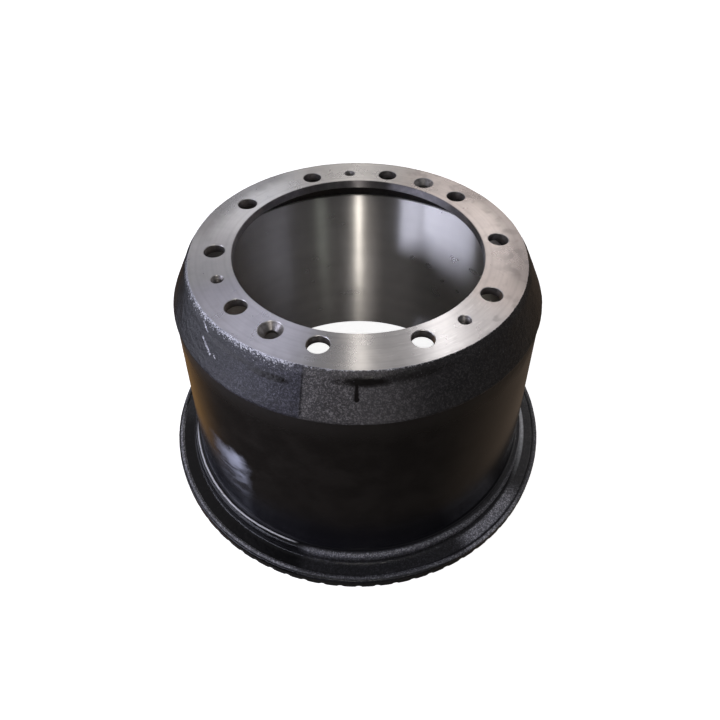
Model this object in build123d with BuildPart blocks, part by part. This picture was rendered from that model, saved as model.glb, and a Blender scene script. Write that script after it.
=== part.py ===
# Brake drum for a heavy trailer axle: one grey-iron casting, turned on the
# faces and bores that locate or rub, as-cast elsewhere.
# Millimetres. The drum stands on its open end, the wheel-side mounting face is
# on top. Origin: centre of the open end's bearing plane. +Z is the drum's axis,
# towards the mounting face. +X passes through a wheel-bolt hole.

import os
from math import cos, sin, radians, hypot

from build123d import *

os.makedirs("parts", exist_ok=True)

# ---------------------------------------------------------------- dimensions
# overall
HEIGHT = 322.5            # open end to mounting face
RIM_D = 557.5             # outside of the rim flange at the open end

# mounting face, at the closed end
PILOT_D = 295.0           # centring bore that fits over the hub
PILOT_CHAMFER = 0.6
FACE_D = 393.2            # outer edge of the turned mounting face
FACE_T = 10.5             # thickness of the mounting disc

# bolt circle shared by every hole in the mounting face
PITCH_D = 335.0
BOLT_COUNT = 10
BOLT_D = 24.0
BOLT_CHAMFER = 0.6

# retaining-screw holes, countersunk, between bolt holes
SCREW_ANGLES = (54.0, 234.0)
SCREW_D = 13.0
SCREW_HEAD_D = 27.0
SCREW_SINK_ANGLE = 90.0

# jacking-screw holes, M14 x 2, between bolt holes
JACK_ANGLES = (90.0, 198.0, 306.0)
JACK_D = 12.0             # minor diameter of the thread
JACK_CHAMFER_D = 15.2

# friction bore
FRICTION_D = 420.0
FRICTION_TOP = 59.5       # from the mounting face down to where it starts
RELIEF_D = 422.4          # as-cast clearance above the friction bore
MOUTH_CHAMFER = 1.0

# outside of the drum, as (radius, depth below the mounting face)
SHOULDER_A = (201.8, 7.0)
SHOULDER_B = (223.1, 47.6)
SHOULDER_C = (223.3, 49.6)
WALL_TOP = (222.2, 51.0)      # the turned wall starts with a small step in
WALL_FOOT = (242.1, 293.5)    # and widens steadily towards the open end
BEAD_IN = (244.7, 292.9)      # small turned run-out in front of the bead
BEAD_OUT = (251.6, 293.1)
BEAD_FOOT = (253.2, 308.0)
LIP_IN = (270.9, 308.0)
LIP_TOP = (272.2, 306.1)

SHOULDER_ROUND = 14.0
KNUCKLE_ROUND = 1.2
BEAD_ROUND = 6.0
BEAD_FOOT_ROUND = 4.0
LIP_ROUND = 3.5
RIM_CHAMFER = 0.8

# scallops around the underside of the rim
NOTCH_COUNT = 75
NOTCH_PHASE = 1.7
NOTCH_W = 10.4            # width at the underside
NOTCH_TOP_W = 3.4         # width at its root
NOTCH_DEPTH = 4.1         # depth at the rim's outside
NOTCH_RUN = 24.0          # how far it runs in from the rim before it fades out


def up(point):
    """(radius, depth below the face) to (radius, height above the open end)."""
    return (point[0], HEIGHT - point[1])


def at(corners, point):
    """The corner of a section that lies at a given point."""
    return min(corners, key=lambda v: hypot(v.X - point[0], v.Y - point[1]))


# The inside of the shoulder follows the outside at about 14 mm thickness.
slope = (SHOULDER_B[0] - SHOULDER_A[0]) / (SHOULDER_B[1] - SHOULDER_A[1])
relief_r = RELIEF_D / 2
relief_top = (relief_r, 55.0)
relief_disc = (relief_r - slope * (55.0 - FACE_T), FACE_T)

outline = [
    up((PILOT_D / 2 + PILOT_CHAMFER, 0)),
    up((FACE_D / 2, 0)),
    up(SHOULDER_A),
    up(SHOULDER_B),
    up(SHOULDER_C),
    up(WALL_TOP),
    up(WALL_FOOT),
    up(BEAD_IN),
    up(BEAD_OUT),
    up(BEAD_FOOT),
    up(LIP_IN),
    up(LIP_TOP),
    up((RIM_D / 2, LIP_TOP[1])),
    (RIM_D / 2, RIM_CHAMFER),
    (RIM_D / 2 - RIM_CHAMFER, 0),
    (FRICTION_D / 2 + MOUTH_CHAMFER, 0),
    (FRICTION_D / 2, MOUTH_CHAMFER),
    up((FRICTION_D / 2, FRICTION_TOP)),
    up((relief_r, FRICTION_TOP - 1.2)),
    up(relief_top),
    up(relief_disc),
    up((PILOT_D / 2 + 0.5, FACE_T)),
    up((PILOT_D / 2, FACE_T - 0.5)),
    up((PILOT_D / 2, PILOT_CHAMFER)),
]

with BuildPart() as brake_drum:
    # one turned section: disc, shoulder, wall, bead and rim
    with BuildSketch(Plane.XZ) as section:
        with BuildLine():
            Polyline(*outline, close=True)
        make_face()
        fillet(at(section.vertices(), up(SHOULDER_A)), SHOULDER_ROUND)
        fillet(at(section.vertices(), up(SHOULDER_C)), KNUCKLE_ROUND)
        fillet(at(section.vertices(), up(WALL_FOOT)), 1.4)
        fillet(at(section.vertices(), up(BEAD_IN)), 0.35)
        fillet(at(section.vertices(), up(BEAD_OUT)), BEAD_ROUND)
        fillet(at(section.vertices(), up(BEAD_FOOT)), BEAD_FOOT_ROUND)
        fillet(at(section.vertices(), up(LIP_IN)), 1.0)
        fillet(at(section.vertices(), up(LIP_TOP)), 0.8)
        fillet(at(section.vertices(), up((RIM_D / 2, LIP_TOP[1]))), LIP_ROUND)
        fillet(at(section.vertices(), up(relief_top)), 12.0)
        fillet(at(section.vertices(), up(relief_disc)), 9.0)
    revolve(axis=Axis.Z)

    # wheel-bolt holes
    with BuildSketch(Plane.XY.offset(HEIGHT)):
        with PolarLocations(PITCH_D / 2, BOLT_COUNT):
            Circle(BOLT_D / 2)
    extrude(amount=-(FACE_T + 1), mode=Mode.SUBTRACT)
    bolt_mouths = [
        e for e in brake_drum.edges().filter_by(GeomType.CIRCLE)
        if abs(e.radius - BOLT_D / 2) < 1e-3
    ]
    chamfer(bolt_mouths, BOLT_CHAMFER)

    # countersunk retaining-screw holes
    with Locations(*[
        Location((PITCH_D / 2 * cos(radians(a)), PITCH_D / 2 * sin(radians(a)), HEIGHT))
        for a in SCREW_ANGLES
    ]):
        CounterSinkHole(
            radius=SCREW_D / 2,
            counter_sink_radius=SCREW_HEAD_D / 2,
            depth=FACE_T + 1,
            counter_sink_angle=SCREW_SINK_ANGLE,
        )

    # jacking-screw holes, with a lead-in for the thread
    with Locations(*[
        Location((PITCH_D / 2 * cos(radians(a)), PITCH_D / 2 * sin(radians(a)), HEIGHT))
        for a in JACK_ANGLES
    ]):
        CounterSinkHole(
            radius=JACK_D / 2,
            counter_sink_radius=JACK_CHAMFER_D / 2,
            depth=FACE_T + 1,
            counter_sink_angle=90,
        )

    # scallops: each a shallow radial trough that rises out of the underside
    tilt = NOTCH_DEPTH / NOTCH_RUN
    root_z = NOTCH_DEPTH
    for k in range(NOTCH_COUNT):
        angle = NOTCH_PHASE + k * 360.0 / NOTCH_COUNT
        a = radians(angle)
        outward = Vector(cos(a), sin(a), tilt).normalized()
        across = Vector(-sin(a), cos(a), 0)
        start = Vector((RIM_D / 2 + 2) * cos(a), (RIM_D / 2 + 2) * sin(a), root_z + 2 * tilt)
        with BuildSketch(Plane(origin=start, x_dir=across, z_dir=outward)) as trough:
            with BuildLine():
                Polyline(
                    (-NOTCH_W / 2 - 1.7, -NOTCH_DEPTH - 2.0),
                    (-NOTCH_TOP_W / 2, 0),
                    (NOTCH_TOP_W / 2, 0),
                    (NOTCH_W / 2 + 1.7, -NOTCH_DEPTH - 2.0),
                    close=True,
                )
            make_face()
            fillet(
                [v for v in trough.vertices() if v.Y > -0.5],
                1.3,
            )
        extrude(amount=-(NOTCH_RUN + 6), mode=Mode.SUBTRACT)

brake_drum.part.label = "brake_drum"
export_step(brake_drum.part, "parts/brake_drum.step")

volume = brake_drum.part.volume
print("solids", len(brake_drum.part.solids()))
print("volume mm3 %.0f, mass at 7.2 g/cm3 %.1f kg" % (volume, volume * 7.2e-6))
box = brake_drum.part.bounding_box()
print("size %.2f x %.2f x %.2f" % (box.size.X, box.size.Y, box.size.Z))
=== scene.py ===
from math import acos, atan2, ceil, cos, hypot, pi, radians, sin, tan

import bmesh
import bpy
from mathutils import Matrix, Quaternion, Vector, geometry, noise


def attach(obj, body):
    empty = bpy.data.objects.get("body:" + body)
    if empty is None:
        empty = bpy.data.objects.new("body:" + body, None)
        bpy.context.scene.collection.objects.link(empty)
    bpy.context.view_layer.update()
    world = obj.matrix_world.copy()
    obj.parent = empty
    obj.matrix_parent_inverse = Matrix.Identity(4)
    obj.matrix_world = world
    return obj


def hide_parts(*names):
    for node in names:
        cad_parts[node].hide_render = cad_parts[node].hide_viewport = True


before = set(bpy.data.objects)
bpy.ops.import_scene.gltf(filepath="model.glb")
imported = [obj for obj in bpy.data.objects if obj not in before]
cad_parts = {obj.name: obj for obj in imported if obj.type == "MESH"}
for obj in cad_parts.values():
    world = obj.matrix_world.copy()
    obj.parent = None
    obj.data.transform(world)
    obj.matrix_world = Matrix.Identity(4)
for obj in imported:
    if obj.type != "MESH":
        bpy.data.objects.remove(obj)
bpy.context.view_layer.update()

scene = bpy.context.scene
MM = 0.001

# The drum's own angles are 4.3 degrees behind the angles measured from the camera's side.
TURN = 4.3


def smooth(a, b, x):
    """0 before a, 1 after b, smooth between."""
    if a == b:
        return float(x >= a)
    t = min(1.0, max(0.0, (x - a) / (b - a)))
    return t * t * (3 - 2 * t)


# ------------------------------------------------------------------ section
H = 322.5
RIM_R = 278.75
PILOT_R, FACE_R, FACE_T = 147.5, 196.6, 10.5
PITCH_R = 167.5

# zones of the skin, which are also the material slots of the mesh
CAST, WALL, FACE, BORE, RAW, HOLE = range(6)


def rounded(corners):
    """Corners (radius, depth below the face, rounding, steps of the rounding, zone after it, spacing after it) to rows (radius, height, zone of the strip that follows)."""
    rows, spacing = [], 1.0
    last = None
    for i, (r, d, fillet, steps, zone, step) in enumerate(corners):
        z = H - d
        if fillet > 0:
            p = Vector((r, z))
            a = Vector((corners[i - 1][0], H - corners[i - 1][1])) - p
            b = Vector((corners[i + 1][0], H - corners[i + 1][1])) - p
            a.normalize()
            b.normalize()
            half = acos(max(-1.0, min(1.0, a.dot(b)))) / 2
            run = fillet / tan(half)
            centre = p + (a + b).normalized() * (fillet / sin(half))
            start, stop = p + a * run - centre, p + b * run - centre
            a0 = atan2(start.y, start.x)
            da = atan2(stop.y, stop.x) - a0
            while da > pi:
                da -= 2 * pi
            while da < -pi:
                da += 2 * pi
            points = [
                centre + Vector((cos(a0 + da * k / steps), sin(a0 + da * k / steps))) * fillet
                for k in range(steps + 1)
            ]
        else:
            points = [Vector((r, z))]
        if last is not None:
            gap = (points[0] - last).length
            m = max(1, round(gap / spacing))
            for j in range(1, m):
                mid = last.lerp(points[0], j / m)
                rows.append((mid.x, mid.y, rows[-1][2]))
        rows += [(q.x, q.y, zone) for q in points]
        last, spacing = points[-1], step
    return rows


outside = rounded([
    (196.6, 0.0, 0, 0, CAST, 1.5),
    (201.8, 7.0, 14.0, 2, CAST, 1.6),
    (223.1, 47.6, 0, 0, CAST, 1.1),
    (223.3, 49.6, 1.2, 2, CAST, 1.1),
    (222.2, 51.0, 0, 0, WALL, 2.7),
    (223.45, 66.2, 0, 0, WALL, 46.0),
    (242.1, 293.5, 1.4, 2, WALL, 1.3),
    (244.7, 292.9, 0, 0, CAST, 1.5),
    (251.6, 293.1, 6.0, 5, CAST, 2.0),
    (253.2, 308.0, 4.0, 3, CAST, 2.2),
    (270.9, 308.0, 1.0, 2, CAST, 1.0),
    (272.2, 306.1, 0.8, 2, CAST, 1.9),
    (278.75, 306.1, 3.5, 4, CAST, 2.0),
    (278.75, 312.0, 0, 0, CAST, 2.0),
])

inside = rounded([
    (211.0, 322.5, 0, 0, BORE, 5.0),
    (210.0, 321.5, 0, 0, BORE, 90.0),
    (210.0, 59.5, 0, 0, BORE, 5.0),
    (211.2, 58.3, 0, 0, RAW, 3.0),
    (211.2, 55.0, 12.0, 3, RAW, 5.0),
    (187.85, 10.5, 9.0, 4, RAW, 5.0),
    (182.0, 10.5, 0, 0, RAW, 9.0),
])[:-1]

# ------------------------------------------------------------------ surface of the casting
# Where the rough cast band of the shoulder ends and the turned wall begins:
# (angle from the camera's right, depth), because the turning sits a little off
# the casting's centre.
BAND_EDGE = [
    (-180, 45.0), (-150, 44.6), (-128, 45.6), (-118, 44.6), (-111, 44.8),
    (-105, 43.4), (-97, 42.6), (-90, 42.2), (-80, 43.2), (-72, 45.4),
    (-66, 47.0), (-60, 51.0), (-54, 55.2), (-47, 60.5), (-40, 62.5),
    (-15, 62.5), (10, 60.0), (40, 55.0), (70, 49.5), (100, 46.5), (140, 45.2), (180, 45.0),
]


def band_edge(angle):
    a = (angle + 180) % 360 - 180
    for (a0, d0), (a1, d1) in zip(BAND_EDGE, BAND_EDGE[1:]):
        if a0 <= a <= a1:
            return d0 + (d1 - d0) * smooth(a0, a1, a)
    return 45.0


def grain(p, size, seed):
    """Smooth noise from -1 to 1 at a place in millimetres, with lumps of about the given size."""
    return noise.noise(Vector((p[0] / size + seed, p[1] / size - seed * 0.7, p[2] / size + seed * 1.3)))


def ridge(x, centre, half):
    """A rounded ridge across x."""
    t = abs(x - centre) / half
    return 0.0 if t >= 1 else (1 - t * t) ** 2


def cast_relief(angle, r, z):
    """How far the cast skin stands out from the true section, in millimetres."""
    a = radians(angle)
    p = (r * cos(a), r * sin(a), z)
    seen = (angle + TURN + 180) % 360 - 180
    depth = H - z
    fine = grain(p, 2.3, 11.0)
    mid = grain(p, 4.6, 3.0)
    wide = grain(p, 19.0, 7.0)
    if depth < 100:
        edge = band_edge(seen)
        rough = 1 - smooth(edge - 1.6, edge + 0.9, depth + 0.8 * grain(p, 6.0, 5.0))
        out = rough * (0.20 * fine + 0.22 * mid + 0.30 * wide + 0.12)
        # the mould's seam
        out += rough * 0.30 * ridge(seen, -105.35 + 0.008 * depth + 0.12 * grain((0, 0, z), 7.0, 6.0), 0.40)
        return out
    if r < 246:
        near = smooth(285.0, 291.0, depth)
        return near * (0.05 * fine + 0.06 * mid)
    out = 0.16 * fine + 0.20 * mid + 0.16 * wide
    seam = ridge(seen, -104.4, 0.42) + 0.8 * ridge(seen, -77.0, 0.42) + 0.6 * ridge(seen, -82.0, 0.35)
    if depth < 309 and r < 271:
        out += 0.45 * seam
    return out


def placed(angle, r, z, nr, nz):
    """A point of the outside skin with its cast relief, kept inside the true outline."""
    out = cast_relief(angle, r, z)
    room = RIM_R - r
    if H - z > 100 and nr > 0.05 and room < 1.2:
        out = min(out, max(0.0, room)) - 0.34 * (1 - room / 1.2)
    r2, z2 = min(r + out * nr, RIM_R), z + out * nz
    a = radians(angle)
    return (r2 * cos(a), r2 * sin(a), z2)


# ------------------------------------------------------------------ mesh
verts, faces, zones = [], [], []


def add(p):
    verts.append(p)
    return len(verts) - 1


def ring(angles, r, z):
    return [add((r * cos(radians(a)), r * sin(radians(a)), z)) for a in angles]


def stitch(ids_a, ang_a, ids_b, ang_b, zone):
    """Joins two rings of any number of points each, walking round both with growing angle."""
    na, nb = len(ids_a), len(ids_b)
    if na == nb and all(abs(x - y) < 1e-6 for x, y in zip(ang_a, ang_b)):
        for i in range(na):
            j = (i + 1) % na
            faces.append((ids_a[i], ids_a[j], ids_b[j], ids_b[i]))
            zones.append(zone)
        return
    i = j = 0
    while i < na or j < nb:
        next_a = ang_a[i + 1] if i + 1 < na else ang_a[0] + 360
        next_b = ang_b[j + 1] if j + 1 < nb else ang_b[0] + 360
        if j >= nb or (i < na and next_a <= next_b):
            faces.append((ids_a[i % na], ids_a[(i + 1) % na], ids_b[j % nb]))
            i += 1
        else:
            faces.append((ids_a[i % na], ids_b[(j + 1) % nb], ids_b[j % nb]))
            j += 1
        zones.append(zone)


def row_normals(rows):
    """Outward unit normals of a section walked downwards on the outside."""
    out = []
    for i in range(len(rows)):
        a = rows[max(0, i - 1)]
        b = rows[min(len(rows) - 1, i + 1)]
        t = Vector((b[0] - a[0], b[1] - a[1])).normalized()
        out.append((-t.y, t.x))
    return out


def even(n):
    return [i * 360 / n for i in range(n)]


COLS, COLS_WALL, COLS_IN = even(880), even(440), even(400)

# the scallops: 75 troughs under the rim, with columns at their edges
NOTCHES, NOTCH_PHASE, NOTCH_DEPTH, NOTCH_RUN = 75, 1.7, 4.1, 24.0
PERIOD_MM = 2 * pi * RIM_R / NOTCHES
OFFSETS = (-5.7, -4.6, -3.0, -1.6, 0.0, 1.6, 3.0, 4.6, 5.7, 9.0, 11.7, 14.4)
COLS_EDGE = sorted(
    (NOTCH_PHASE + (k * PERIOD_MM + o) / RIM_R * 180 / pi) % 360
    for k in range(NOTCHES) for o in OFFSETS
)


def notch_height(angle, r):
    """Height of the rim's underside at a place: 0 between the scallops, more in them."""
    k = round((angle - NOTCH_PHASE) / 4.8)
    s = abs(r * sin(radians(angle - NOTCH_PHASE - k * 4.8)))
    wobble = 0.35 * noise.noise(Vector((k % NOTCHES * 1.7, 3.1, 0.4)))
    root = NOTCH_DEPTH - (RIM_R - r) * NOTCH_DEPTH / NOTCH_RUN + wobble
    side = root - (s - 1.7) * 6.1 / 5.2
    # rounded where the root meets the side
    blend = 1.1
    h = max(blend - abs(root - side), 0.0) / blend
    return max(0.0, min(root, side) - h * h * blend / 4)


# outside skin, from the edge of the turned face down to the rim
normals = row_normals(outside)
above, cols_above = None, None
for i, (r, z, zone) in enumerate(outside):
    nr, nz = normals[i]
    depth = H - z
    cols = COLS_WALL if 70 < depth < 291.5 else COLS
    if i == 0:
        # the ragged edge between the turned face and the casting
        ids = []
        for a in cols:
            ar = radians(a)
            p = (r * cos(ar), r * sin(ar), z)
            r2 = r + 0.30 * grain(p, 3.4, 2.0) + 0.34 * grain(p, 11.0, 9.0)
            ids.append(add((r2 * cos(ar), r2 * sin(ar), z)))
        top_edge = ids
    else:
        ids = [add(placed(a, r, z, nr, nz)) for a in cols]
        stitch(ids, cols, above, cols_above, outside[i - 1][2])
    above, cols_above = ids, cols

# the rim's side, with the scallops at its foot
side_top = outside[-1][1]
SIDE_ROWS = 4
for k in range(1, SIDE_ROWS + 1):
    t = k / SIDE_ROWS
    ids = []
    for a in COLS_EDGE:
        foot = max(0.8, notch_height(a, RIM_R))
        z = side_top + (foot - side_top) * t
        ar = radians(a)
        out = (cast_relief(a, RIM_R, z) - 0.36) * (1 - 0.7 * smooth(0.7, 1.0, t))
        r2 = min(RIM_R, RIM_R + out)
        ids.append(add((r2 * cos(ar), r2 * sin(ar), z)))
    stitch(ids, COLS_EDGE, above, cols_above, CAST)
    above, cols_above = ids, COLS_EDGE

# the underside of the rim
for r in (277.95, 272.5, 266.5, 260.5, 254.5):
    ids = [add((r * cos(radians(a)), r * sin(radians(a)), notch_height(a, r))) for a in COLS_EDGE]
    stitch(ids, COLS_EDGE, above, cols_above, CAST)
    above, cols_above = ids, COLS_EDGE
ids = ring(COLS, 246.0, 0.0)
stitch(ids, COLS, above, cols_above, CAST)
above, cols_above = ids, COLS

# inside skin, from the mouth up to the underside of the disc
strip = CAST
for r, z, zone in inside:
    ids = []
    for a in COLS_IN:
        ar = radians(a)
        out = 0.0
        if H - z < 55 and r < 211.1:
            p = (r * cos(ar), r * sin(ar), z)
            out = 0.30 * grain(p, 6.0, 4.0) + 0.35 * grain(p, 21.0, 8.0)
            out *= smooth(182.6, 186.0, r)
        ids.append(add(((r + out) * cos(ar), (r + out) * sin(ar), z)))
    stitch(ids, COLS_IN, above, cols_above, strip)
    strip = zone
    above, cols_above = ids, COLS_IN
disc_edge = above

# pilot bore, from the underside to the face
pilot_rows = [(148.0, H - FACE_T), (PILOT_R, H - FACE_T + 0.5), (PILOT_R, H - 0.6), (148.1, H)]
pilot_ids = [ring(COLS_IN, r, z) for r, z in pilot_rows]
for lower, upper in zip(pilot_ids, pilot_ids[1:]):
    stitch(upper, COLS_IN, lower, COLS_IN, BORE)

# holes through the disc: rows from the face down
top_loops, bottom_loops = [], []


def hole(angle, rows, segments, shape=None):
    """A round hole through the disc. rows are (radius, depth below the face)."""
    cx, cy = PITCH_R * cos(radians(angle)), PITCH_R * sin(radians(angle))
    rings = []
    for r, d in rows:
        ids = []
        for s in range(segments):
            t = 2 * pi * s / segments
            rr = r if shape is None else shape(r, d, t)
            ids.append(add((cx + rr * cos(t), cy + rr * sin(t), H - d)))
        rings.append(ids)
    for upper, lower in zip(rings, rings[1:]):
        for s in range(segments):
            t = (s + 1) % segments
            faces.append((upper[s], upper[t], lower[t], lower[s]))
            zones.append(HOLE)
    top_loops.append(rings[0])
    bottom_loops.append(rings[-1])


for k in range(10):
    hole(k * 36.0, [(12.6, 0), (12.0, 0.6), (12.0, FACE_T - 0.6), (12.6, FACE_T)], 64)
for a in (54.0, 234.0):
    hole(a, [(13.5, 0), (10.0, 3.5), (6.5, 7.0), (6.5, FACE_T)], 64)

PITCH = 2.0


def thread(r, d, t):
    """Inside of an M14 x 2 thread: out to the major radius between the crests."""
    if d < 0.05 or d > FACE_T - 0.01:
        return r
    tri = 1 - abs(2 * ((d / PITCH - t / (2 * pi)) % 1.0) - 1)      # 0 at the crest, 1 at the root
    cut = min(1.0, max(0.0, (tri - 0.14) / 0.72))
    return max(r, 6.0 + cut)


for a in (90.0, 198.0, 306.0):
    rows = [(7.6, 0.0), (6.9, 0.7), (6.3, 1.3)]
    rows += [(6.0, 1.6 + 0.29 * k) for k in range(31)]
    rows.append((6.0, FACE_T))
    hole(a, rows, 28, thread)


def fill(outer, inner_loops, zone, upwards):
    """Flat region between an outer loop, which is evenly divided, and the holes in it."""
    loops = [outer] + inner_loops
    index, points, edges = [], [], []
    for loop in loops:
        start, n = len(points), len(loop)
        for v in loop:
            points.append(Vector(verts[v][:2]))
            index.append(v)
        edges += [(start + i, start + (i + 1) % n) for i in range(n)]
    vs, _, fs, ov, _, _ = geometry.delaunay_2d_cdt(points, edges, [], 0, 1e-7)
    back = [index[o[0]] if o else None for o in ov]
    if len(vs) != len(points) or None in back:
        raise RuntimeError("the flat fill made points of its own")
    holes = [set(loop) for loop in inner_loops]
    n = len(outer)
    for f in fs:
        tri = [back[i] for i in f]
        if any(loop.issuperset(tri) for loop in holes):
            continue
        cx = sum(verts[v][0] for v in tri) / 3
        cy = sum(verts[v][1] for v in tri) / 3
        # outside the outer loop's own chord at that angle
        i = int((atan2(cy, cx) % (2 * pi)) / (2 * pi) * n) % n
        (x0, y0, _), (x1, y1, _) = verts[outer[i]], verts[outer[(i + 1) % n]]
        if (x1 - x0) * (cy - y0) - (y1 - y0) * (cx - x0) < 0:
            continue
        a, b, c = (Vector(verts[v]) for v in tri)
        if ((b - a).cross(c - a).z > 0) != upwards:
            tri.reverse()
        faces.append(tuple(tri))
        zones.append(zone)


fill(top_edge, [pilot_ids[-1]] + top_loops, FACE, True)
fill(disc_edge, [pilot_ids[0]] + bottom_loops, RAW, False)

mesh = bpy.data.meshes.new("drum_casting")
mesh.from_pydata([(x * MM, y * MM, z * MM) for x, y, z in verts], [], faces)
mesh.polygons.foreach_set("material_index", zones)
mesh.update()

bm = bmesh.new()
bm.from_mesh(mesh)
bmesh.ops.recalc_face_normals(bm, faces=bm.faces)
print("DRUM: verts", len(bm.verts), "faces", len(bm.faces), "triangles",
      sum(len(f.verts) - 2 for f in bm.faces), "open or crowded edges",
      sum(1 for e in bm.edges if len(e.link_faces) != 2),
      "volume litres", round(bm.calc_volume() * 1000, 3))
bm.to_mesh(mesh)
bm.free()
mesh.polygons.foreach_set("use_smooth", [True] * len(mesh.polygons))
mesh.set_sharp_from_angle(angle=radians(32))
drum = bpy.data.objects.new("drum_casting", mesh)
scene.collection.objects.link(drum)


# ------------------------------------------------------------------ node writing
class Nodes:
    """Short ways to write nodes into a tree. Numbers and sockets may be mixed as inputs."""

    def __init__(self, tree):
        self.tree = tree

    def new(self, kind, **settings):
        n = self.tree.nodes.new(kind)
        for k, v in settings.items():
            setattr(n, k, v)
        return n

    def put(self, socket, value):
        if isinstance(value, bpy.types.NodeSocket):
            self.tree.links.new(value, socket)
        else:
            socket.default_value = value

    def math(self, op, *args, clamp=False):
        n = self.new("ShaderNodeMath", operation=op, use_clamp=clamp)
        for s, v in zip(n.inputs, args):
            self.put(s, v)
        return n.outputs[0]

    def add(self, a, b):
        return self.math("ADD", a, b)

    def sub(self, a, b):
        return self.math("SUBTRACT", a, b)

    def mul(self, *args):
        out = args[0]
        for a in args[1:]:
            out = self.math("MULTIPLY", out, a)
        return out

    def most(self, *args):
        out = args[0]
        for a in args[1:]:
            out = self.math("MAXIMUM", out, a)
        return out

    def inverse(self, a):
        return self.math("SUBTRACT", 1.0, a, clamp=True)

    def step(self, x, a, b, low=0.0, high=1.0):
        """low before a, high after b, smooth between. a and b are numbers or sockets."""
        n = self.new("ShaderNodeMapRange", interpolation_type="SMOOTHSTEP", clamp=True)
        for s, v in zip(n.inputs, (x, a, b, low, high)):
            self.put(s, v)
        return n.outputs[0]

    def line(self, x, a, b, low=0.0, high=1.0):
        n = self.new("ShaderNodeMapRange", interpolation_type="LINEAR", clamp=True)
        for s, v in zip(n.inputs, (x, a, b, low, high)):
            self.put(s, v)
        return n.outputs[0]

    def within(self, x, a, b, soft_a, soft_b=None):
        """1 between a and b, falling to 0 over soft_a below a and soft_b above b."""
        soft_b = soft_a if soft_b is None else soft_b
        return self.mul(self.step(x, a - soft_a, a), self.step(x, b, b + soft_b, 1.0, 0.0))

    def colour(self, fac, a, b, blend="MIX"):
        n = self.new("ShaderNodeMix", data_type="RGBA", blend_type=blend, clamp_factor=True)
        self.put(n.inputs[0], fac)
        self.put(n.inputs[6], self.rgba(a))
        self.put(n.inputs[7], self.rgba(b))
        return n.outputs[2]

    def blend(self, fac, a, b):
        n = self.new("ShaderNodeMix", data_type="FLOAT", clamp_factor=True)
        for s, v in zip((n.inputs[0], n.inputs[2], n.inputs[3]), (fac, a, b)):
            self.put(s, v)
        return n.outputs[0]

    @staticmethod
    def rgba(c):
        return (*c, 1.0) if isinstance(c, tuple) and len(c) == 3 else c

    def vector(self, x, y, z):
        n = self.new("ShaderNodeCombineXYZ")
        for s, v in zip(n.inputs, (x, y, z)):
            self.put(s, v)
        return n.outputs[0]


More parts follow.
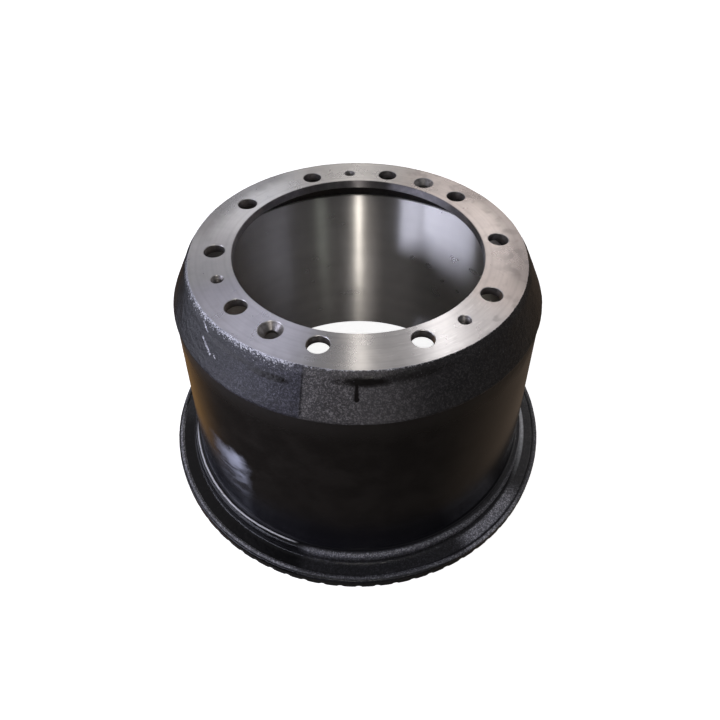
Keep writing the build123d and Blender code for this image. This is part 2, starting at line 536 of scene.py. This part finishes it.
class Finish(Nodes):
    """A material of the drum, with its own places to work from: radius and depth in millimetres, and the angle as seen, in degrees."""

    def __init__(self, name):
        self.material = bpy.data.materials.new(name)
        self.material.use_nodes = True
        super().__init__(self.material.node_tree)
        self.shader = self.tree.nodes["Principled BSDF"]
        coord = self.new("ShaderNodeTexCoord")
        self.place = coord.outputs["Object"]
        split = self.new("ShaderNodeSeparateXYZ")
        self.put(split.inputs[0], self.place)
        self.x, self.y, self.z = split.outputs
        self.r = self.mul(
            self.math("SQRT", self.add(self.mul(self.x, self.x), self.mul(self.y, self.y))), 1000.0)
        self.turn = self.math("ARCTAN2", self.y, self.x)
        self.angle = self.math("WRAP", self.add(self.math("DEGREES", self.turn), TURN), 180.0, -180.0)
        self.depth = self.sub(H, self.mul(self.z, 1000.0))
        self.bumps = None

    def noise(self, size, detail=2.0, rough=0.5, where=None, seed=0.0, distortion=0.0):
        """Noise from 0 to 1, mostly near 0.5, with lumps of about size millimetres."""
        n = self.new("ShaderNodeTexNoise", noise_dimensions="4D")
        self.put(n.inputs["Vector"], self.place if where is None else where)
        self.put(n.inputs["W"], seed)
        self.put(n.inputs["Scale"], 1000.0 / size)
        self.put(n.inputs["Detail"], detail)
        self.put(n.inputs["Roughness"], rough)
        self.put(n.inputs["Distortion"], distortion)
        return n.outputs[0]

    def polar(self, across, along=0.0, up=0.0):
        """A place in which noise runs round the axis: the radius and the height are scaled, the way round is scaled by along."""
        c, s = self.math("COSINE", self.turn), self.math("SINE", self.turn)
        k = self.add(self.mul(self.r, across * MM), self.mul(self.z, up))
        return self.vector(self.mul(c, along), self.mul(s, along), k)

    def bump(self, height, strength, distance_mm):
        n = self.new("ShaderNodeBump")
        self.put(n.inputs["Strength"], strength)
        self.put(n.inputs["Distance"], distance_mm * MM)
        self.put(n.inputs["Height"], height)
        if self.bumps is not None:
            self.put(n.inputs["Normal"], self.bumps)
        self.bumps = n.outputs[0]

    def grooves(self, marks, amount, radial, flank=0.0):
        """Tilts the surface to and fro across the tool marks, up and down a bore or in and out on a face, about the flank that catches the light."""
        geo = self.new("ShaderNodeNewGeometry")
        s = self.add(self.mul(self.sub(marks, 0.5), amount), flank)
        if radial:
            across = self.vector(self.mul(self.math("COSINE", self.turn), s),
                                 self.mul(self.math("SINE", self.turn), s), 0.0)
        else:
            across = self.vector(0.0, 0.0, s)
        tilted = self.new("ShaderNodeVectorMath", operation="ADD")
        self.put(tilted.inputs[0], geo.outputs["Normal"])
        self.put(tilted.inputs[1], across)
        unit = self.new("ShaderNodeVectorMath", operation="NORMALIZE")
        self.put(unit.inputs[0], tilted.outputs[0])
        self.bumps = unit.outputs[0]

    def blot(self, angle, half_angle, depth, half_depth, soft=0.35, ragged=0.0, ragged_noise=None):
        """1 inside an oval at an angle and a depth, fading at its edge."""
        u = self.math("DIVIDE", self.sub(self.angle, angle), half_angle)
        v = self.math("DIVIDE", self.sub(self.depth, depth), half_depth)
        d = self.math("SQRT", self.add(self.mul(u, u), self.mul(v, v)))
        if ragged_noise is not None:
            d = self.add(d, self.mul(self.sub(ragged_noise, 0.5), ragged))
        return self.step(d, 1.0 - soft, 1.0 + soft, 1.0, 0.0)

    def stroke(self, a0, d0, a1, d1, half, ragged_noise=None, ragged=0.0):
        """1 on a straight stroke from (angle, depth) to (angle, depth), half millimetres wide each side."""
        per = 3.62                                   # millimetres per degree on the shoulder
        ux, uy = (a1 - a0) * per, d1 - d0
        length = hypot(ux, uy)
        ux, uy = ux / length, uy / length
        px = self.mul(self.sub(self.angle, a0), per)
        py = self.sub(self.depth, d0)
        along = self.add(self.mul(px, ux), self.mul(py, uy))
        across = self.math("ABSOLUTE", self.sub(self.mul(px, uy), self.mul(py, ux)))
        if ragged_noise is not None:
            across = self.add(across, self.mul(self.sub(ragged_noise, 0.5), ragged))
        return self.mul(self.step(across, half * 0.5, half * 1.5, 1.0, 0.0),
                        self.within(along, 0.0, length, half * 1.5))

    def done(self, base, rough, metal=0.0, specular=None):
        b = self.shader.inputs
        self.put(b["Base Color"], self.rgba(base))
        self.put(b["Roughness"], rough)
        self.put(b["Metallic"], metal)
        if specular is not None:
            b["Specular IOR Level"].default_value = specular
        if self.bumps is not None:
            self.put(b["Normal"], self.bumps)
        return self.material


# ------------------------------------------------------------------ cast skin under gloss black paint
def cast_paint():
    f = Finish("cast_paint")
    tiny = f.noise(1.1, 2.0, 0.65, seed=1.0)
    fine = f.noise(2.1, 3.0, 0.6, seed=2.0)
    mid = f.noise(6.0, 2.0, 0.5, seed=3.0)
    wide = f.noise(30.0, 3.0, 0.55, seed=4.0)
    ragged = f.noise(9.0, 3.0, 0.6, seed=6.0)
    shoulder = f.step(f.depth, 66.0, 90.0, 1.0, 0.0)
    rim = f.inverse(shoulder)
    grains = f.step(f.blend(0.60, tiny, fine), 0.38, 0.62)
    specks = f.step(f.blend(0.45, tiny, fine), 0.48, 0.61, 0.22, 1.0)

    base = f.colour(f.step(wide, 0.35, 0.7), (0.0075, 0.0073, 0.0078), (0.0115, 0.0110, 0.0120))
    # left of the mould's seam the grain carries a painted lilac-grey sheen of the cool light from the left, right of it
    # sandy dust
    left = f.mul(shoulder, f.within(f.angle, -170.0, -106.0, 9.0, 1.8))
    painted_cool_sheen = f.mul(left, specks, f.line(wide, 0.3, 0.7, 0.7, 1.0),
                  f.step(f.add(f.angle, f.mul(f.depth, 0.25)), -134.0, -110.0, 0.05, 1.0))
    base = f.colour(f.mul(painted_cool_sheen, 0.90), base, (0.165, 0.162, 0.206))
    sandy = f.mul(shoulder, f.within(f.angle, -104.3, -86.0, 1.6, 18.0), specks)
    base = f.colour(f.mul(sandy, 0.90), base, (0.280, 0.262, 0.262))
    faint = f.mul(shoulder, f.within(f.angle, -86.0, -36.0, 8.0, 20.0), specks)
    base = f.colour(f.mul(faint, 0.60), base, (0.135, 0.128, 0.130))
    # sandy film where the band meets the turned wall
    film = f.mul(shoulder, f.within(f.depth, 38.0, 50.0, 8.0), f.step(mid, 0.3, 0.7), 0.18)
    base = f.colour(film, base, (0.060, 0.056, 0.052))

    # where the paint ran thick it is dark and wet; the two blots on the left, at -115 and -128, are painted shade below
    # the glinting stretch
    wet_and_painted_shade = f.most(
        f.blot(-88.0, 7.8, 9.6, 4.6, 0.55, 0.8, ragged),
        f.mul(f.blot(-77.0, 12.0, 7.5, 4.6, 0.75, 0.9, ragged), 0.75),
        f.stroke(-90.5, 10.0, -90.6, 25.0, 2.1, ragged, 2.4),
        f.blot(-90.5, 0.72, 25.2, 2.6, 0.35, 0.5, ragged),
        f.blot(-115.0, 6.4, 17.4, 3.2, 0.35, 0.8, ragged),
        f.mul(f.blot(-128.0, 10.0, 13.8, 2.8, 0.6, 0.9, ragged), 0.85),
        f.mul(f.stroke(-105.35, 0.0, -105.0, 45.0, 1.30, ragged, 3.4), 0.55),
    )
    wet_and_painted_shade = f.mul(wet_and_painted_shade, shoulder)
    base = f.colour(wet_and_painted_shade, base, (0.0105, 0.0088, 0.0080))

    # bare iron in grains along the face's edge: a broad broken band on the left, a thin line in front
    reach = f.blend(f.within(f.angle, -172.0, -110.0, 6.0, 3.0), 1.0, 6.6)
    reach = f.blend(f.within(f.angle, -106.0, -76.0, 2.0, 12.0), reach, 1.6)
    chip = f.noise(1.5, 3.0, 0.7, seed=7.0)
    shade = f.math("DIVIDE", f.math("MAXIMUM", f.depth, 0.0), reach)
    edge = f.step(f.sub(chip, f.mul(shade, 0.22)), 0.38, 0.46)
    # painted glints: a grainy stretch below it on the left, with bright grains
    painted_glint = f.mul(f.step(chip, 0.60, 0.65), f.blot(-119.0, 11.0, 6.5, 7.5, 0.5, 0.7, ragged), f.inverse(f.mul(wet_and_painted_shade, 0.8)))
    torn = f.noise(1.5, 3.0, 0.65, seed=8.0)
    scrape = f.most(
        f.stroke(-142.1, 6.0, -138.9, 11.4, 0.75, torn, 5.5),
        f.stroke(-140.4, 19.6, -135.7, 28.6, 1.15, torn, 6.0),
        f.stroke(-139.6, 20.6, -138.2, 25.6, 0.40, torn, 2.8),
        f.stroke(-134.5, 26.0, -133.1, 28.6, 0.45, torn, 3.0),
    )
    # bare iron along the edge and in the scrapes, with the painted glints added
    bare_and_painted_glint = f.mul(f.most(edge, f.mul(painted_glint, 0.75), f.mul(scrape, 0.95)), shoulder)
    # sparse nicks down to the primer, on the rim too
    nick = f.noise(2.3, 1.0, 0.5, seed=9.0)
    nicks = f.mul(f.step(nick, 0.735, 0.760), f.step(wide, 0.44, 0.60))
    base = f.colour(nicks, base, (0.22, 0.22, 0.23))
    base = f.colour(bare_and_painted_glint, base, f.colour(grains, (0.22, 0.22, 0.25), (0.72, 0.72, 0.75)))

    # the rim: glossy black on the left, grained in front and on the right, with a painted speckled sheen there for the
    # glints of its grain
    calm = f.mul(rim, f.within(f.angle, -171.0, -109.0, 8.0, 6.0))
    right = f.step(f.angle, -74.0, -60.0)
    base = f.colour(f.mul(calm, 0.8), base, (0.0030, 0.0029, 0.0038))
    painted_grain_sheen = f.mul(rim, f.inverse(calm), specks, f.step(f.depth, 308.6, 310.4, 1.0, 0.0))
    base = f.colour(f.mul(painted_grain_sheen, 0.55), base, (0.070, 0.070, 0.080))
    # painted highlight on the rim's lip, over its grain specks: strongest on the left, strong at -56 to -40, faint
    # elsewhere
    painted_lip_highlight = f.mul(rim, f.step(f.r, f.blend(right, 269.6, 273.2), f.blend(right, 271.0, 275.2)),
                f.step(f.r, f.blend(right, 274.4, 277.8), f.blend(right, 276.2, 279.2), 1.0, 0.0),
                f.step(f.depth, 308.6, 310.4, 1.0, 0.0))
    lip_highlight_level = f.most(f.mul(calm, 0.95), f.mul(f.within(f.angle, -56.0, -40.0, 7.0), 0.85), 0.30)
    painted_lip_highlight = f.mul(painted_lip_highlight, specks, lip_highlight_level)
    base = f.colour(painted_lip_highlight, base, (0.80, 0.80, 0.88))
    # painted highlight on the bead's crest, moving further out towards the right as the reflection does
    centre = f.blend(f.step(f.angle, -66.0, -44.0), 249.6, 251.9)
    painted_crest_highlight = f.mul(f.step(f.math("ABSOLUTE", f.sub(f.r, centre)), 0.8, 4.0, 1.0, 0.0), rim, f.inverse(calm),
                  f.step(f.depth, 291.9, 292.5), f.step(f.depth, 300.0, 304.0, 1.0, 0.0),
                  f.step(f.angle, -36.0, -20.0, 1.0, 0.25), specks)
    base = f.colour(painted_crest_highlight, base, (0.36, 0.36, 0.40))
    # a painted highlight: a thin bright line along the bead's edge on the left
    wander = f.add(246.9, f.mul(f.step(f.angle, -134.0, -112.0), -1.5))
    painted_edge_highlight = f.math("ABSOLUTE", f.sub(f.add(f.r, f.mul(f.sub(ragged, 0.5), 1.1)), wander))
    painted_edge_highlight = f.mul(f.step(painted_edge_highlight, 0.55, 1.45, 1.0, 0.0), rim, f.within(f.angle, -163.0, -112.0, 9.0, 4.0),
                 f.step(f.depth, 300.0, 302.0, 1.0, 0.0), f.step(fine, 0.30, 0.48, 0.45, 1.0))
    base = f.colour(painted_edge_highlight, base, (0.85, 0.85, 0.90))
    # a painted reflection of a broad bright light: a pale stretch round the bead's foot, far right
    painted_reflection_right = f.mul(rim, f.step(f.angle, -34.0, -6.0), f.step(f.angle, 20.0, 60.0, 1.0, 0.0),
                 f.within(f.r, 250.6, 257.6, 1.6), f.step(f.depth, 292.6, 294.0), f.line(specks, 0.22, 1.0, 0.55, 1.0))
    base = f.colour(f.mul(painted_reflection_right, 0.98), base, (0.92, 0.94, 1.0))
    # painted glints on the grain specks of the flange top, right of the front
    painted_flange_glints = f.mul(rim, f.within(f.angle, -53.0, -40.0, 9.0), f.within(f.r, 258.0, 269.5, 3.0),
                    specks, f.step(f.depth, 304.0, 306.0))
    base = f.colour(f.mul(painted_flange_glints, 0.9), base, (0.72, 0.72, 0.80))
    foot = f.step(f.depth, 309.5, 312.0)
    base = f.colour(f.mul(foot, f.line(grains, 0.0, 1.0, 0.4, 1.0)), base, (0.034, 0.032, 0.028))

    rough = f.add(0.31, f.mul(f.sub(wide, 0.5), 0.20))
    rough = f.blend(sandy, rough, 0.55)
    rough = f.blend(f.mul(rim, f.inverse(foot)), rough, 0.19)
    rough = f.blend(f.most(painted_lip_highlight, painted_crest_highlight, painted_edge_highlight, painted_reflection_right), rough, 0.45)
    rough = f.blend(foot, rough, 0.50)
    rough = f.blend(wet_and_painted_shade, rough, 0.20)
    rough = f.blend(bare_and_painted_glint, rough, 0.40)
    metal = f.mul(bare_and_painted_glint, 0.35)

    soft = f.most(f.mul(wet_and_painted_shade, 0.7), f.mul(calm, 0.85))
    f.bump(tiny, f.blend(soft, 0.60, 0.10), 0.30)
    f.bump(fine, f.blend(soft, 0.75, 0.28), 0.60)
    f.bump(mid, f.blend(calm, 0.35, 0.15), 0.8)
    return f.done(base, rough, metal, 0.34)


# ------------------------------------------------------------------ turned wall under gloss black paint
def wall_paint():
    f = Finish("wall_paint")
    wide = f.noise(70.0, 2.0, 0.5, seed=11.0)
    cloud = f.noise(26.0, 3.0, 0.55, seed=12.0)
    fine = f.noise(1.4, 2.0, 0.6, seed=13.0)
    peel = f.noise(5.0, 1.0, 0.5, seed=14.0)
    lines = f.noise(1000.0, 3.0, 0.7, where=f.polar(0.0, 2.0, 900.0), seed=15.0)
    # wisps, which run round the wall
    wisp = f.noise(1000.0, 3.0, 0.6, where=f.vector(
        f.mul(f.angle, 0.075), f.add(f.mul(f.depth, 0.055), f.mul(f.angle, 0.05)), 0.0), seed=16.0, distortion=0.7)

    base = f.colour(f.step(cloud, 0.35, 0.7), (0.0165, 0.0140, 0.0122), (0.0250, 0.0215, 0.0188))
    # painted shade: blacker and bluer towards the rim, where the wall reflects the dark floor
    foot = f.step(f.add(f.depth, f.mul(f.sub(wide, 0.5), 40.0)), 205.0, 268.0)
    base = f.colour(foot, base, (0.0062, 0.0060, 0.0086))
    # dust that settled below the shoulder
    top = f.mul(f.step(f.add(f.depth, f.mul(f.sub(cloud, 0.5), 30.0)), 52.0, 84.0, 1.0, 0.0),
                f.step(fine, 0.30, 0.62, 0.70, 1.0))
    base = f.colour(f.mul(top, 0.20), base, (0.064, 0.056, 0.050))
    # a rubbed, pale patch low on the left, sharp above and on its right
    ragged = f.noise(13.0, 4.0, 0.6, seed=17.0)
    shift = f.mul(f.sub(ragged, 0.5), 26.0)
    side = f.add(f.angle, f.mul(f.sub(wisp, 0.5), 9.0))
    body = f.blend(f.step(f.add(f.depth, shift), 174.0, 192.0), 1.0,
                   f.mul(f.step(wisp, 0.36, 0.62, 0.10, 0.85), f.step(f.depth, 192.0, 255.0, 1.0, 0.08)))
    patch = f.mul(f.step(side, -127.5, -122.5, 1.0, 0.0), f.step(side, -143.0, -126.5),
                  f.step(f.add(f.depth, shift), 157.0, 177.0), body)
    base = f.colour(patch, base, (0.55, 0.57, 0.68))
    low = f.mul(f.within(f.angle, -162.0, -158.0, 16.0, 30.0), f.within(f.depth, 205.0, 300.0, 50.0))
    base = f.colour(f.mul(low, 0.40), base, (0.020, 0.022, 0.036))

    rough = f.add(0.22, f.mul(f.sub(wide, 0.5), 0.16))
    rough = f.add(rough, f.mul(f.sub(lines, 0.5), 0.05))
    rough = f.blend(f.mul(top, 0.6), rough, 0.62)
    rough = f.blend(patch, rough, 0.55)
    f.bump(peel, 0.10, 0.25)
    f.bump(lines, 0.10, 0.08)
    f.bump(fine, f.blend(top, 0.05, 0.35), 0.20)
    return f.done(base, rough)


# ------------------------------------------------------------------ turned iron
def turned(f, anisotropy):
    """Makes the shine run across the tool marks, which go round the axis."""
    tangent = f.new("ShaderNodeTangent", direction_type="RADIAL", axis="Z")
    f.put(f.shader.inputs["Tangent"], tangent.outputs[0])
    f.shader.inputs["Anisotropic"].default_value = anisotropy
    f.shader.inputs["Anisotropic Rotation"].default_value = 0.25


def face_iron():
    f = Finish("face_iron")
    lines = f.noise(1000.0, 0.0, 0.5, where=f.polar(280.0), seed=21.0)
    broad = f.noise(1000.0, 1.0, 0.5, where=f.polar(110.0), seed=22.0)
    cloud = f.noise(34.0, 3.0, 0.55, seed=23.0)
    blotch = f.noise(13.0, 1.0, 0.5, seed=24.0, distortion=0.6)
    # short arc scratches that run round, and a few stray ones
    arcs = f.noise(1000.0, 0.0, 0.4, where=f.polar(600.0, 14.0), seed=25.0)
    arc = f.mul(f.step(arcs, 0.62, 0.76), f.within(f.angle, -86.0, -38.0, 10.0))
    stray = f.noise(1000.0, 0.0, 0.4, where=f.vector(
        f.add(f.mul(f.x, 500.0), f.mul(f.y, 260.0)), f.sub(f.mul(f.y, 18.0), f.mul(f.x, 22.0)), 0.0), seed=26.0)
    stray = f.mul(f.step(stray, 0.70, 0.78), f.step(cloud, 0.54, 0.62), f.within(f.angle, -78.0, 10.0, 8.0))

    base = f.colour(f.step(cloud, 0.3, 0.7), (0.50, 0.49, 0.495), (0.62, 0.605, 0.60))
    base = f.colour(f.mul(f.step(broad, 0.30, 0.70), 0.22), base, (0.68, 0.665, 0.66))
    base = f.colour(f.mul(f.step(lines, 0.42, 0.74), 0.18), base, (0.36, 0.35, 0.35))
    # finger marks and oil smudges, most of them along the right edge
    right = f.within(f.angle, -42.0, 62.0, 12.0)
    smudge = f.mul(f.step(blotch, 0.52, 0.66), f.blend(right, 0.06, 0.24), f.step(f.r, 158.0, 184.0, 0.35, 1.0))
    base = f.colour(smudge, base, (0.22, 0.205, 0.20))
    # darker on the outer part, behind to the left and along the right
    film = f.mul(f.step(f.add(f.r, f.mul(f.sub(blotch, 0.5), 9.0)), 166.0, 190.0),
                 f.most(f.mul(f.within(f.angle, -14.0, 34.0, 22.0), 0.9), f.within(f.angle, 128.0, 168.0, 14.0)))
    # dull all over behind to the left
    dull = f.most(f.step(f.angle, 148.0, 170.0), f.step(f.angle, -160.0, -138.0, 1.0, 0.0))
    base = f.colour(f.mul(dull, 0.36), base, (0.19, 0.185, 0.20))
    base = f.colour(f.mul(film, 0.68), base, (0.19, 0.18, 0.18))
    base = f.colour(f.mul(stray, 0.45), base, (0.14, 0.13, 0.13))
    # painted warm light on the right and painted cool light on the left, as tints of the colour
    base = f.colour(f.within(f.angle, -28.0, 62.0, 18.0), base, (1.05, 0.985, 0.935), "MULTIPLY")
    base = f.colour(f.within(f.angle, -150.0, -112.0, 12.0), base, (0.97, 0.955, 1.04), "MULTIPLY")
    base = f.colour(f.mul(arc, 0.25), base, (0.85, 0.84, 0.83))

    rough = f.add(0.28, f.mul(f.sub(cloud, 0.5), 0.07))
    rough = f.blend(smudge, rough, 0.52)
    f.grooves(lines, 0.06, True)
    turned(f, 1.0)
    return f.done(base, rough, 1.0)


def bore_iron():
    f = Finish("bore_iron")
    # bands of tool marks round the axis
    broad = f.noise(1000.0, 0.0, 0.5, where=f.polar(0.0, 0.0, 60.0), seed=32.0)
    cloud = f.noise(60.0, 2.0, 0.5, seed=33.0)
    base = f.colour(f.step(cloud, 0.3, 0.7), (0.56, 0.545, 0.53), (0.64, 0.625, 0.61))
    base = f.colour(f.mul(f.step(broad, 0.35, 0.7), 0.20), base, (0.72, 0.70, 0.67))
    rough = f.add(0.285, f.mul(f.sub(cloud, 0.5), 0.08))
    rough = f.add(rough, f.mul(f.sub(broad, 0.5), 0.02))
    # the short land of the pilot bore is duller and darker, with oil on it
    land = f.step(f.depth, 9.5, 12.0, 1.0, 0.0)
    oil = f.noise(14.0, 3.0, 0.6, seed=35.0)
    base = f.colour(f.mul(land, f.step(oil, 0.2, 0.6, 0.75, 1.0)), base, (0.20, 0.19, 0.20))
    rough = f.blend(land, rough, 0.36)
    f.grooves(0.5, 0.0, False, f.blend(land, 0.45, 0.27))
    turned(f, 1.0)
    return f.done(base, rough, 1.0)


def raw_iron():
    f = Finish("raw_iron")
    fine = f.noise(1.8, 3.0, 0.6, seed=41.0)
    mid = f.noise(7.0, 3.0, 0.6, seed=42.0)
    base = f.colour(f.step(mid, 0.35, 0.7), (0.012, 0.011, 0.011), (0.028, 0.025, 0.024))
    base = f.colour(f.mul(f.step(fine, 0.55, 0.75), 0.4), base, (0.07, 0.06, 0.055))
    rough = f.add(0.50, f.mul(f.sub(mid, 0.5), 0.3))
    f.bump(fine, 0.6, 0.5)
    f.bump(mid, 0.4, 0.8)
    return f.done(base, rough)


def hole_iron():
    f = Finish("hole_iron")
    drill = f.noise(1000.0, 3.0, 0.7, where=f.vector(f.mul(f.x, 40.0), f.mul(f.y, 40.0), f.mul(f.z, 1300.0)), seed=51.0)
    mid = f.noise(4.0, 3.0, 0.6, seed=52.0)
    base = f.colour(f.step(mid, 0.35, 0.7), (0.24, 0.225, 0.22), (0.42, 0.40, 0.40))
    # darker deeper in the hole, towards the underside
    deep = f.step(f.add(f.depth, f.mul(f.sub(mid, 0.5), 6.0)), 3.0, 9.5)
    base = f.colour(f.mul(deep, 0.65), base, (0.055, 0.048, 0.046))
    # the chamfer at the mouth is bright
    mouth = f.step(f.depth, 0.50, 0.72, 1.0, 0.0)
    base = f.colour(f.mul(mouth, 0.8), base, (0.66, 0.65, 0.65))
    rough = f.add(0.36, f.mul(f.sub(drill, 0.5), 0.2))
    f.bump(drill, 0.5, 0.12)
    f.bump(mid, 0.25, 0.2)
    return f.done(base, rough, 0.85)


for make in (cast_paint, wall_paint, face_iron, bore_iron, raw_iron, hole_iron):
    mesh.materials.append(make())

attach(drum, "root")
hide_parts("brake_drum")

# ------------------------------------------------------------------ camera
FOCAL, PX, PY = 541.9, 367.4, 360.0       # in pixels of the 720 frame
AWAY, UP, YAW, PITCH_C, ROLL = 530.5, 378.8, 1.35, 47.50, -0.98


def turned_by(v, degrees_):
    a = radians(degrees_)
    return Vector((v.x * cos(a) - v.y * sin(a), v.x * sin(a) + v.y * cos(a), v.z))


yw, pt, rl = radians(YAW), radians(PITCH_C), radians(ROLL)
forward = Vector((sin(yw) * cos(pt), cos(yw) * cos(pt), -sin(pt)))
right = Vector((cos(yw), -sin(yw), 0))
down = forward.cross(right)
r_axis = right * cos(rl) + down * sin(rl)
d_axis = -right * sin(rl) + down * cos(rl)
place = turned_by(Vector((0, -AWAY, UP)), -TURN) + Vector((0, 0, H))
r_axis, d_axis, forward = (turned_by(v, -TURN) for v in (r_axis, d_axis, forward))

cam_data = bpy.data.cameras.new("camera")
cam = bpy.data.objects.new("camera", cam_data)
scene.collection.objects.link(cam)
cam.matrix_world = Matrix(
    [[r_axis[i], -d_axis[i], -forward[i], place[i] * MM] for i in range(3)] + [[0, 0, 0, 1]])
cam_data.sensor_width = 36
cam_data.sensor_fit = "HORIZONTAL"
cam_data.lens = FOCAL * 36 / 720
cam_data.shift_x = -(PX - 360) / 720
cam_data.shift_y = (PY - 360) / 720
cam_data.clip_start, cam_data.clip_end = 0.01, 50
scene.camera = cam

# ------------------------------------------------------------------ floor and light
bpy.ops.mesh.primitive_plane_add(size=30, location=(0, 0, -0.0005))
floor = bpy.context.object
floor.name = "floor"
floor_material = bpy.data.materials.new("floor")
floor_material.use_nodes = True
fb = floor_material.node_tree.nodes["Principled BSDF"].inputs
fb["Base Color"].default_value = (0.88, 0.88, 0.885, 1)
fb["Roughness"].default_value = 0.9
fb["Specular IOR Level"].default_value = 0.1
fb["Emission Color"].default_value = (1, 1, 1, 1)
fb["Emission Strength"].default_value = 0.86
floor.data.materials.append(floor_material)
bpy.ops.mesh.primitive_uv_sphere_add(segments=64, ring_count=32, radius=13, location=(0, 0, 0))
backdrop = bpy.context.object
backdrop.name = "backdrop"
backdrop.data.polygons.foreach_set("use_smooth", [True] * len(backdrop.data.polygons))
backdrop_material = bpy.data.materials.new("backdrop")
backdrop_material.use_nodes = True
bb = backdrop_material.node_tree.nodes["Principled BSDF"].inputs
bb["Base Color"].default_value = (0.10, 0.10, 0.10, 1)
bb["Roughness"].default_value = 0.9
bb["Specular IOR Level"].default_value = 0.1
bb["Emission Color"].default_value = (1, 1, 1, 1)
bb["Emission Strength"].default_value = 0.98
backdrop.data.materials.append(backdrop_material)
# they don't show in the gloss of the paint and the iron, or light them
for ob in (floor, backdrop):
    ob.visible_glossy = False
    ob.visible_diffuse = False
    ob.visible_shadow = False


def direction(azimuth, elevation):
    """A direction given by the angles seen from the camera's side."""
    a, e = radians(azimuth - TURN), radians(elevation)
    return Vector((cos(a) * cos(e), sin(a) * cos(e), sin(e)))


CENTRE = Vector((0, 0, H * MM))

world = bpy.data.worlds.new("studio")
scene.world = world
world.use_nodes = True
w = Nodes(world.node_tree)
background = world.node_tree.nodes["Background"]
way = w.new("ShaderNodeTexCoord").outputs["Generated"]
split = w.new("ShaderNodeSeparateXYZ")
w.put(split.inputs[0], way)
height = split.outputs[2]


def glow(azimuth, elevation, inner, outer):
    """1 within inner degrees of a direction, 0 beyond outer degrees."""
    n = w.new("ShaderNodeVectorMath", operation="DOT_PRODUCT")
    w.put(n.inputs[0], way)
    n.inputs[1].default_value = direction(azimuth, elevation)
    return w.step(n.outputs["Value"], cos(radians(outer)), cos(radians(inner)))


azimuth_of = w.math("DEGREES", w.math("ARCTAN2", split.outputs[1], split.outputs[0]))
azimuth_of = w.math("WRAP", w.add(azimuth_of, TURN), 270.0, -90.0)
elevation_of = w.math("DEGREES", w.math("ARCSINE", height))


def panel(az0, az1, el0, el1, soft):
    """1 in a patch of the room between two azimuths and two elevations."""
    return w.mul(w.within(azimuth_of, az0, az1, soft), w.within(elevation_of, el0, el1, soft))


air = w.colour(w.step(height, -0.15, 0.25), (0.020, 0.018, 0.017), (0.085, 0.083, 0.088))
air = w.colour(w.step(height, 0.25, 0.95), air, (0.20, 0.20, 0.205))
for mask, tint in (
    (w.mul(glow(115, -56, 6, 34), 1.0), (0.36, 0.20, 0.075)),      # ochre floor behind, to the left
    (w.mul(glow(50, -42, 6, 62), 0.9), (0.16, 0.12, 0.09)),     # brown floor behind, to the right
    (w.within(azimuth_of, 20, 170, 14), (0.34, 0.33, 0.34)),      # the wall behind
):
    if tint[0] == 0.34:
        mask = w.mul(mask, w.within(elevation_of, 8, 62, 10))
    air = w.colour(mask, air, tint)
for mask, tint, strength in (
    (panel(70.5, 82.5, 27, 42, 1.6), (1.0, 0.90, 0.86), 1.45),
    (panel(97.5, 102.6, 27, 47, 1.6), (0.88, 0.94, 1.06), 1.8),
    (panel(-64.5, -60.0, 26, 56, 2.0), (0.62, 0.68, 0.60), 1.0),
    (panel(64.0, 89.0, 43.5, 58, 1.6), (1.0, 0.95, 0.92), 0.42),
):
    lit = w.colour(mask, (0.0, 0.0, 0.0), (tint[0] * strength, tint[1] * strength, tint[2] * strength))
    air = w.colour(1.0, air, lit, "ADD")
w.put(background.inputs["Color"], air)
background.inputs["Strength"].default_value = 1.0
world.cycles.sampling_method = "MANUAL"
world.cycles.sample_map_resolution = 1024


def softbox(name, place_at, aim, width, tall, tint, radiance, roll=0.0):
    """A rectangular light at a place, given from the camera's side in metres, facing another."""
    data = bpy.data.lights.new(name, "AREA")
    data.shape = "RECTANGLE"
    data.size, data.size_y = width, tall
    data.color = tint
    data.energy = radiance * width * tall * pi
    ob = bpy.data.objects.new(name, data)
    scene.collection.objects.link(ob)
    at, to = turned_by(Vector(place_at), -TURN), turned_by(Vector(aim), -TURN)
    ob.location = at
    turn = (at - to).to_track_quat("Z", "Y") @ Quaternion((0, 0, 1), radians(roll))
    ob.rotation_euler = turn.to_euler()
    return ob


def out_at(azimuth, elevation, away):
    a, e = radians(azimuth), radians(elevation)
    return (cos(a) * cos(e) * away, sin(a) * cos(e) * away, sin(e) * away + H * MM)


TOP = (0, 0, H * MM)
softbox("window_a", out_at(202, 24.5, 2.6), TOP, 2.0, 0.42, (0.80, 0.82, 1.0), 8.0, -12.0)
softbox("window_b", out_at(232, 21.5, 2.6), TOP, 0.62, 0.27, (0.80, 0.82, 1.0), 10.5)
softbox("window_low", out_at(191, -4, 2.6), TOP, 3.40, 0.95, (0.80, 0.82, 1.0), 2.5)
# long tubes in line with the camera, overhead and behind it
softbox("tube_back", out_at(90, 52, 2.4), TOP, 0.06, 1.1, (1.0, 0.95, 0.87), 5.2)
softbox("tube_front", out_at(-90, 40, 2.3), TOP, 0.06, 1.1, (1.0, 0.95, 0.87), 31.0)
softbox("spot", out_at(77.3, 42.6, 2.6), TOP, 0.17, 0.22, (1.0, 0.99, 0.99), 16.0)

scene.view_settings.view_transform = "Standard"
